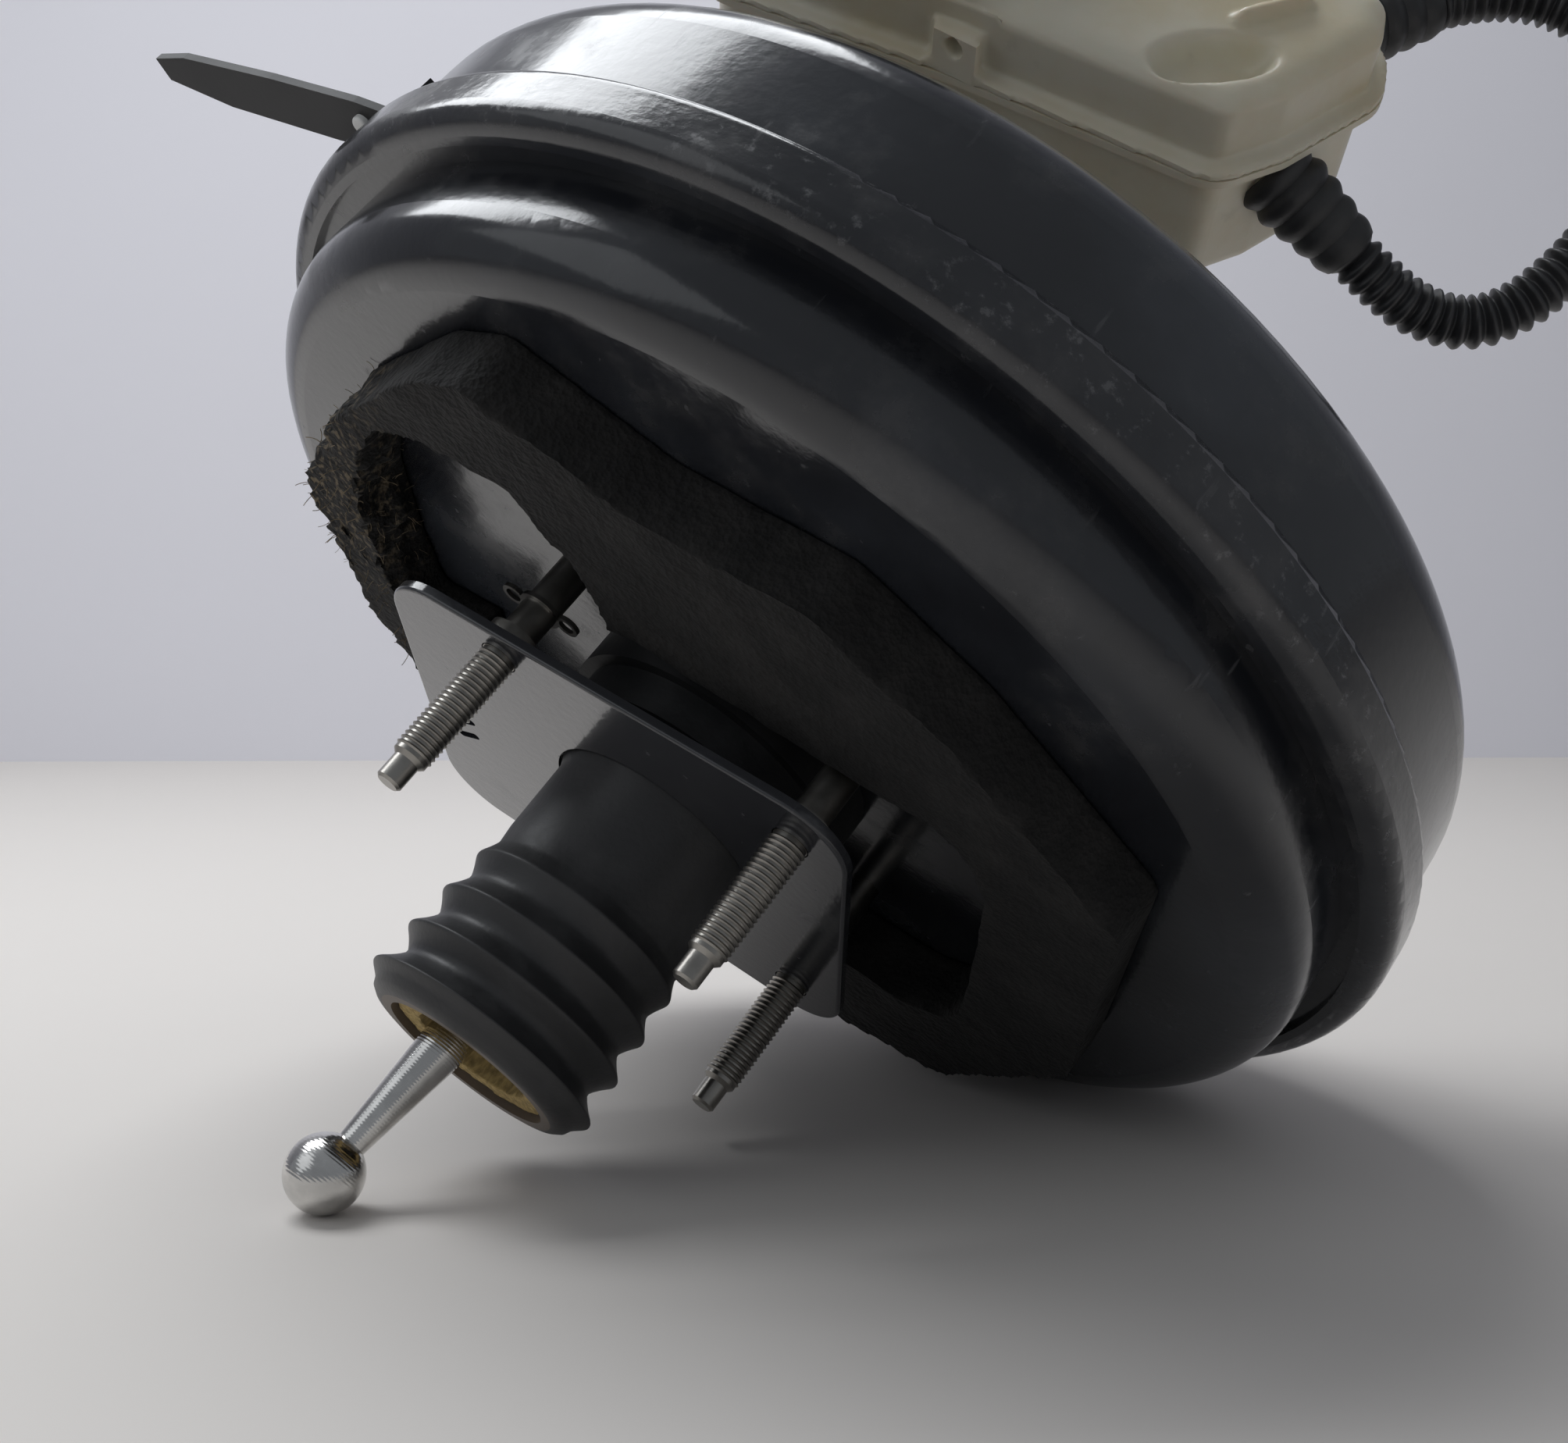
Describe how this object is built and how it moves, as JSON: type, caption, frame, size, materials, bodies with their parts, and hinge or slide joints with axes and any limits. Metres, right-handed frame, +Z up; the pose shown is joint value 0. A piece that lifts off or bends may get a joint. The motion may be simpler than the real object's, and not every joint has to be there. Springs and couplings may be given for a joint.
{
  "type": "brake booster",
  "caption": "Vacuum brake booster: crimped drum with stand-off mounting plate and studs, pedal gaiter and ball rod, master cylinder, fluid reservoir and sensor conduit loop.",
  "frame": {"origin": "On the booster axis, in the face of the mounting plate that meets the wall, at the centre of the four wall studs.", "axes": "+Y along the booster axis towards the engine, -Y towards the pedal, +Z up with the reservoir on top, +X to the right of someone looking along +Y."},
  "size_m": [0.347, 0.3871, 0.3],
  "materials": {
    "shell_black": "glossy black paint",
    "plate_black": "glossy dark grey paint",
    "zinc_steel": "bright zinc",
    "rod_steel": "polished steel",
    "spring_steel": "drawn wire",
    "rubber_black": "matt moulded rubber",
    "foam_black": "open-cell foam",
    "felt_tan": "felt",
    "reservoir_cream": "translucent moulded plastic",
    "clip_white": "moulded plastic",
    "plastic_black": "moulded plastic",
    "conduit_black": "corrugated tube",
    "cast_aluminium": "as cast",
    "phenolic": "moulded phenolic",
    "strap_black": "satin black paint"
  },
  "bodies": {
    "housing": {"front_shell": "shell_black", "rear_shell": "shell_black", "mounting_plate": "plate_black", "mounting_studs": "zinc_steel", "gasket_clip": "spring_steel", "foam_gasket": "foam_black", "boot_seat": "rubber_black", "bellows_boot": "rubber_black", "guide_bush": "plastic_black", "stem_seal": "rubber_black", "diaphragm": "rubber_black", "return_spring": "spring_steel", "front_studs": "zinc_steel", "master_cylinder_nuts": "zinc_steel", "master_cylinder": "cast_aluminium", "bore_circlip": "spring_steel", "spigot_seal": "rubber_black", "primary_spring": "spring_steel", "secondary_spring": "spring_steel", "reservoir_lower": "reservoir_cream", "reservoir_upper": "reservoir_cream", "reservoir_grommets": "rubber_black", "retaining_pin": "zinc_steel", "sensor_boot": "rubber_black", "return_boot": "rubber_black", "sensor_conduit": "conduit_black", "valve_grommet": "rubber_black", "check_valve": "plastic_black", "harness_strap": "strap_black", "strap_clip": "clip_white"},
    "power_piston": {"valve_body": "phenolic", "air_filter": "felt_tan", "poppet_valve": "rubber_black", "poppet_retainer": "spring_steel", "rod_spring": "spring_steel", "reaction_disc": "rubber_black", "output_pushrod": "zinc_steel", "diaphragm_plate": "zinc_steel"},
    "air_valve": {"plunger": "zinc_steel"},
    "input_rod": {"input_pushrod": "rod_steel"},
    "first_piston": {"primary_piston": "cast_aluminium", "primary_cup": "rubber_black"},
    "second_piston": {"secondary_piston": "cast_aluminium", "secondary_cup": "rubber_black"},
    "filler_cap": {"reservoir_cap": "plastic_black", "cap_gasket": "rubber_black"},
    "float": {"level_float": "plastic_black"}
  },
  "joints": [
    {"name": "boost_stroke", "type": "slide", "parent": "housing", "child": "power_piston", "axis": [0, 1, 0], "range_m": [0, 0.034], "stiffness_N_per_m": 2500, "deforming": ["bellows_boot", "diaphragm", "return_spring"]},
    {"name": "valve_travel", "type": "slide", "parent": "power_piston", "child": "air_valve", "axis": [0, 1, 0], "range_m": [0, 0.0015], "stiffness_N_per_m": 1500},
    {"name": "rod_swing", "type": "hinge", "parent": "air_valve", "child": "input_rod", "pos_m": [0, 0.02, 0], "axis": [0, 0, 1], "range_deg": [-1, 9.4]},
    {"name": "first_piston_stroke", "type": "slide", "parent": "housing", "child": "first_piston", "axis": [0, 1, 0], "range_m": [0, 0.034], "deforming": ["primary_spring"]},
    {"name": "second_piston_stroke", "type": "slide", "parent": "housing", "child": "second_piston", "axis": [0, 1, 0], "range_m": [0, 0.017], "deforming": ["secondary_spring", "primary_spring"]},
    {"name": "cap_turn", "type": "hinge", "parent": "housing", "child": "filler_cap", "pos_m": [-0.058, 0.194, 0.112], "axis": [0, 0, 1], "range_deg": [0, 110]},
    {"name": "float_travel", "type": "slide", "parent": "housing", "child": "float", "axis": [0, 0, 1], "range_m": [-0.012, 0]}
  ],
  "couplings": [
    {"joint": "first_piston_stroke", "follows": "boost_stroke", "ratio": 1},
    {"joint": "second_piston_stroke", "follows": "boost_stroke", "ratio": 0.5}
  ]
}
